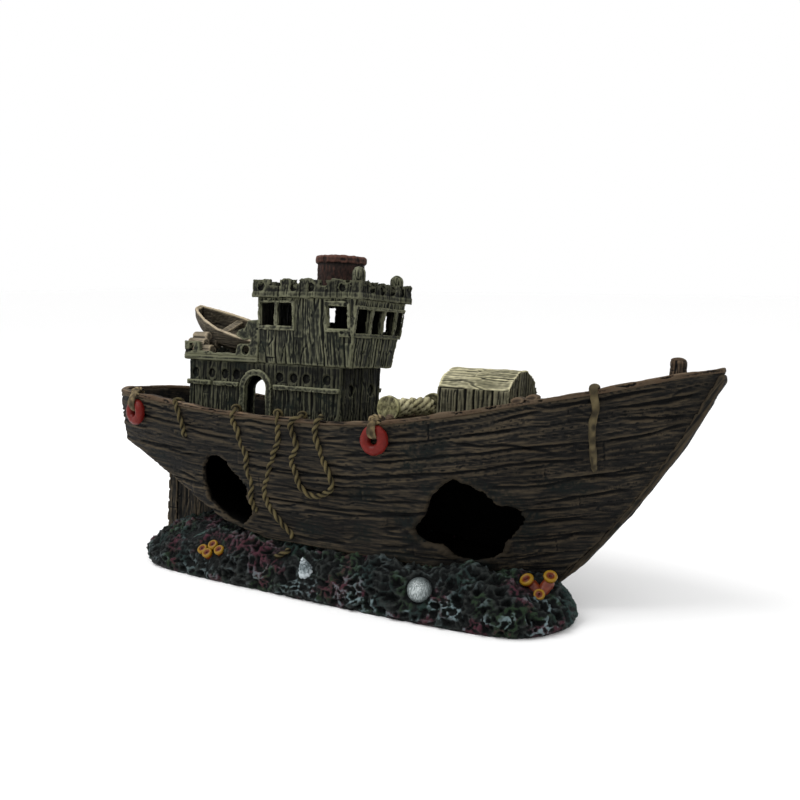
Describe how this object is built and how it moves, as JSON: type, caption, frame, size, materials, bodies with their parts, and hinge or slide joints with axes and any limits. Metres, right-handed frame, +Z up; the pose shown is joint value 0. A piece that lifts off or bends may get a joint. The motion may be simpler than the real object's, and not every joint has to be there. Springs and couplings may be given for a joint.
{
  "type": "bubbling ornament",
  "caption": "Hollow wrecked fishing boat leaning on a reef base, with open breaches, doors and windows for rising air and a pull-out air stone plug at the back.",
  "frame": {"origin": "centre of the footprint of the whole object, on the surface it stands on", "axes": "+X towards the bow, +Y towards the port side and the air plug, +Z up"},
  "size_m": [0.336, 0.1039, 0.1675],
  "materials": {
    "reef_resin": "cast resin, dark green-black with mauve, moss and pale blue dry-brushing",
    "hull_resin": "cast resin with deep wood grain, dark brown with tan dry-brushing",
    "deck_resin": "cast resin planks, dark",
    "cabin_resin": "cast resin, upright grain, dark with olive dry-brushing",
    "cabin_trim_resin": "cast resin, pale olive edges",
    "hatch_resin": "cast resin planks, pale olive",
    "funnel_resin": "cast resin, rusty red-brown",
    "dinghy_resin": "cast resin, grey-brown",
    "ring_resin": "painted red with darker speckles",
    "rope_resin": "moulded twisted rope, olive tan",
    "coral_yellow": "yellow with orange-red rings",
    "coral_orange": "orange red",
    "pearl_silver": "silver paint over black",
    "shell_white": "white with blue-grey shade",
    "log_resin": "blue-green",
    "black_plastic": "moulded black plastic",
    "stone_blue": "sintered porous stone, blue-grey",
    "seal_rubber": "soft rubber"
  },
  "bodies": {
    "wreck": {"rock_base": "reef_resin", "hull": "hull_resin", "stem_post": "hull_resin", "stern_post": "hull_resin", "main_deck": "deck_resin", "cap_rails": "hull_resin", "deckhouse": "cabin_resin", "cabin_ledges": "cabin_trim_resin", "door_frames": "cabin_trim_resin", "boat_deck": "cabin_resin", "boat_deck_rails": "cabin_resin", "wheelhouse": "cabin_resin", "window_frames": "cabin_trim_resin", "wheelhouse_roof": "cabin_resin", "roof_posts": "cabin_trim_resin", "funnel": "funnel_resin", "dinghy": "dinghy_resin", "dinghy_thwart": "dinghy_resin", "dinghy_logs": "dinghy_resin", "winch_cheeks": "hatch_resin", "winch_drum": "rope_resin", "cargo_hatch": "hatch_resin", "rail_cleats": "hull_resin", "bow_bollard": "hull_resin", "life_ring_aft": "ring_resin", "life_ring_mid": "ring_resin", "ring_lashings": "rope_resin", "rope_stern": "rope_resin", "rope_aft": "rope_resin", "rope_long": "rope_resin", "rope_loop": "rope_resin", "bow_strap": "rope_resin", "rope_end": "rope_resin", "coral_aft": "coral_yellow", "coral_fore_branch": "coral_orange", "coral_fore_cups": "coral_yellow", "reef_pearl": "pearl_silver", "sea_snail": "shell_white", "sunken_log": "log_resin", "air_socket": "black_plastic"},
    "air_plug": {"air_stone": "stone_blue", "stone_holder": "black_plastic", "seal_washer": "seal_rubber", "air_nipple": "black_plastic"}
  },
  "joints": [
    {"name": "air_plug_pull", "type": "slide", "parent": "wreck", "child": "air_plug", "axis": [0, 1, 0], "range_m": [0, 0.032]}
  ]
}
